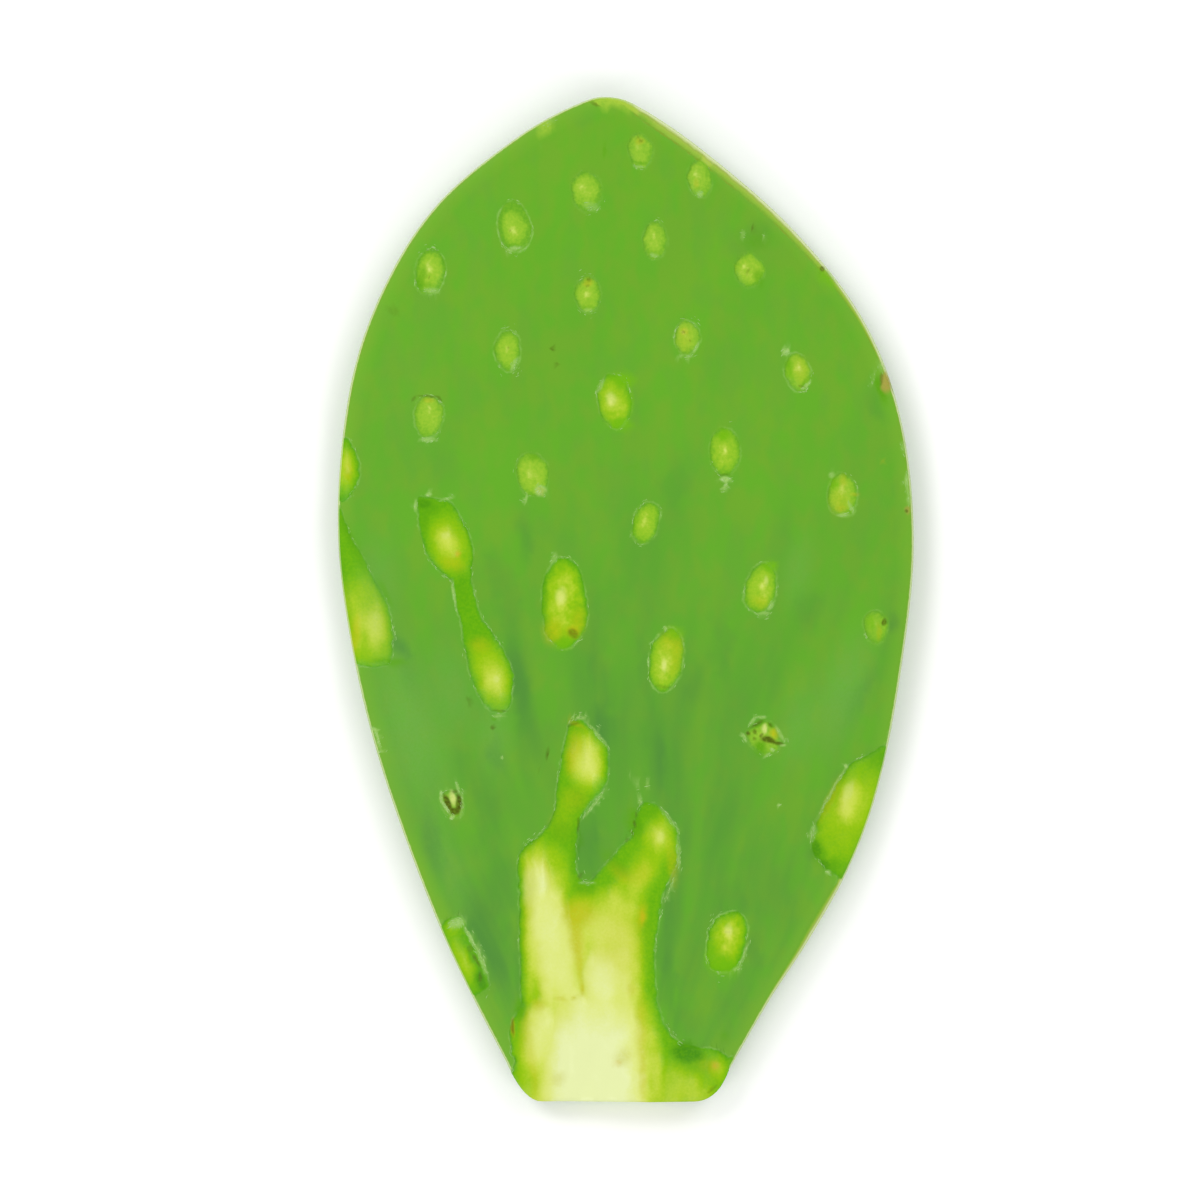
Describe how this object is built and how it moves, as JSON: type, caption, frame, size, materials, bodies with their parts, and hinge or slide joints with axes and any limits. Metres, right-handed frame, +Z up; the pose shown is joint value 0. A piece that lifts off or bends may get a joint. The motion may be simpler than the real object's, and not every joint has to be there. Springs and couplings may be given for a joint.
{
  "type": "prickly pear cactus pad",
  "caption": "Cleaned cactus pad: a thick oval green slab with a blunt tip, pared spine cushions, a forked scoop above a straight chopped stem end.",
  "frame": {"origin": "on the surface the pad lies on, under the middle of its bounding box", "axes": "+Y toward the growing tip, the chopped stem end at -Y, +X to the right seen from above, +Z up through the face with the forked scoop"},
  "size_m": [0.1206, 0.21, 0.0117],
  "materials": {
    "skin": "waxy satin"
  },
  "bodies": {
    "root": {"pad": "skin"}
  },
  "joints": []
}
